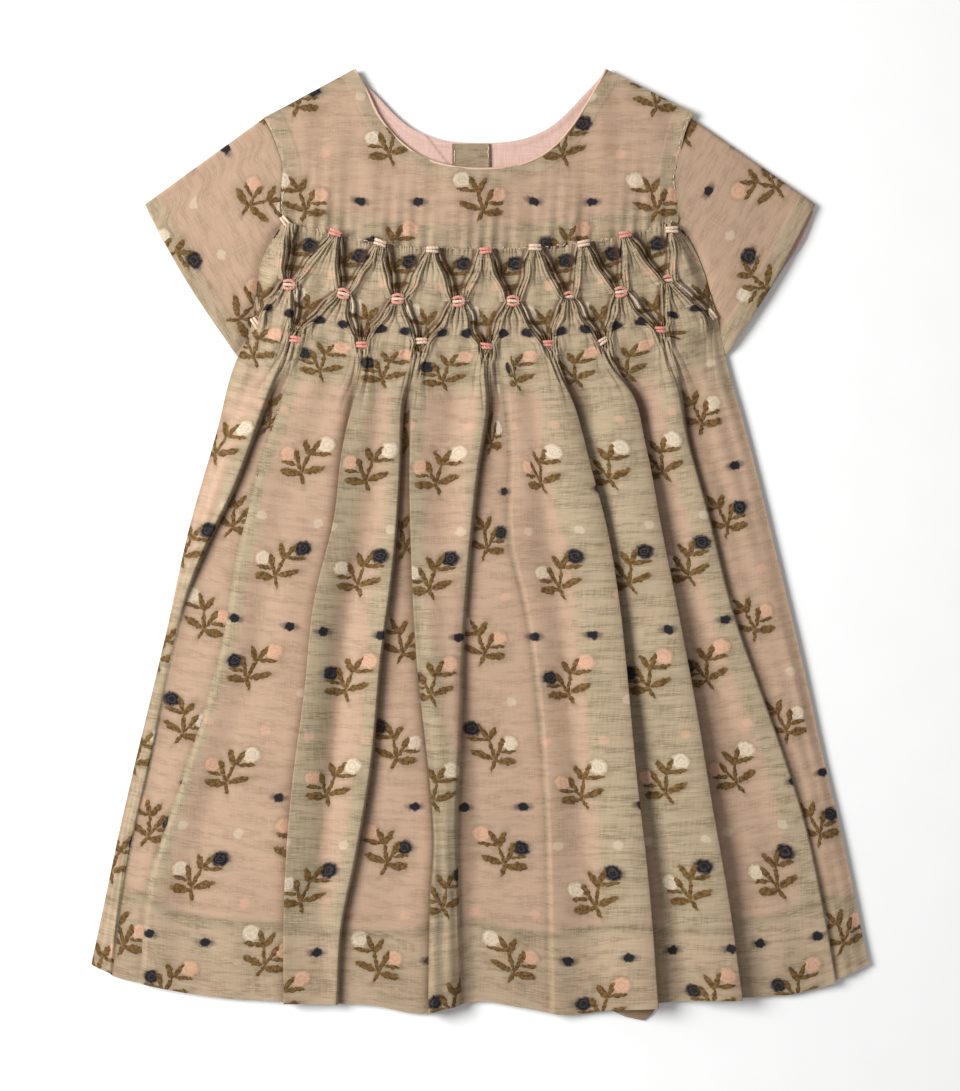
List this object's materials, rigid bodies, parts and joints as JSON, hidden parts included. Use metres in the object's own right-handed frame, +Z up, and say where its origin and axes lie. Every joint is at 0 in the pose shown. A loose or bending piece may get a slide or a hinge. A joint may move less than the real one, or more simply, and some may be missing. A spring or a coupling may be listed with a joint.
{
  "type": "ruched baby dress",
  "caption": "Short-sleeved baby dress laid flat: round neck, smocked bands under a yoke, full pleated skirt with a deep hem.",
  "frame": {"origin": "on the surface that the dress lies on, under the middle of its outline", "axes": "+X towards the wearer's left sleeve, +Y towards the neck, +Z up through the front"},
  "size_m": [0.3812, 0.4668, 0.0111],
  "materials": {
    "outer_cloth": "sheer slubbed cotton weave, greige over pink, with small woven sprigs",
    "lining": "plain matt pink cotton",
    "thread": "soft stranded cotton thread, pink and cream"
  },
  "bodies": {
    "root": {"back_bodice": "outer_cloth", "back_skirt": "outer_cloth", "back_placket": "outer_cloth", "front_yoke": "outer_cloth", "front_skirt": "outer_cloth", "left_sleeve": "outer_cloth", "right_sleeve": "outer_cloth", "bodice_lining": "lining", "skirt_lining": "lining"}
  },
  "joints": []
}
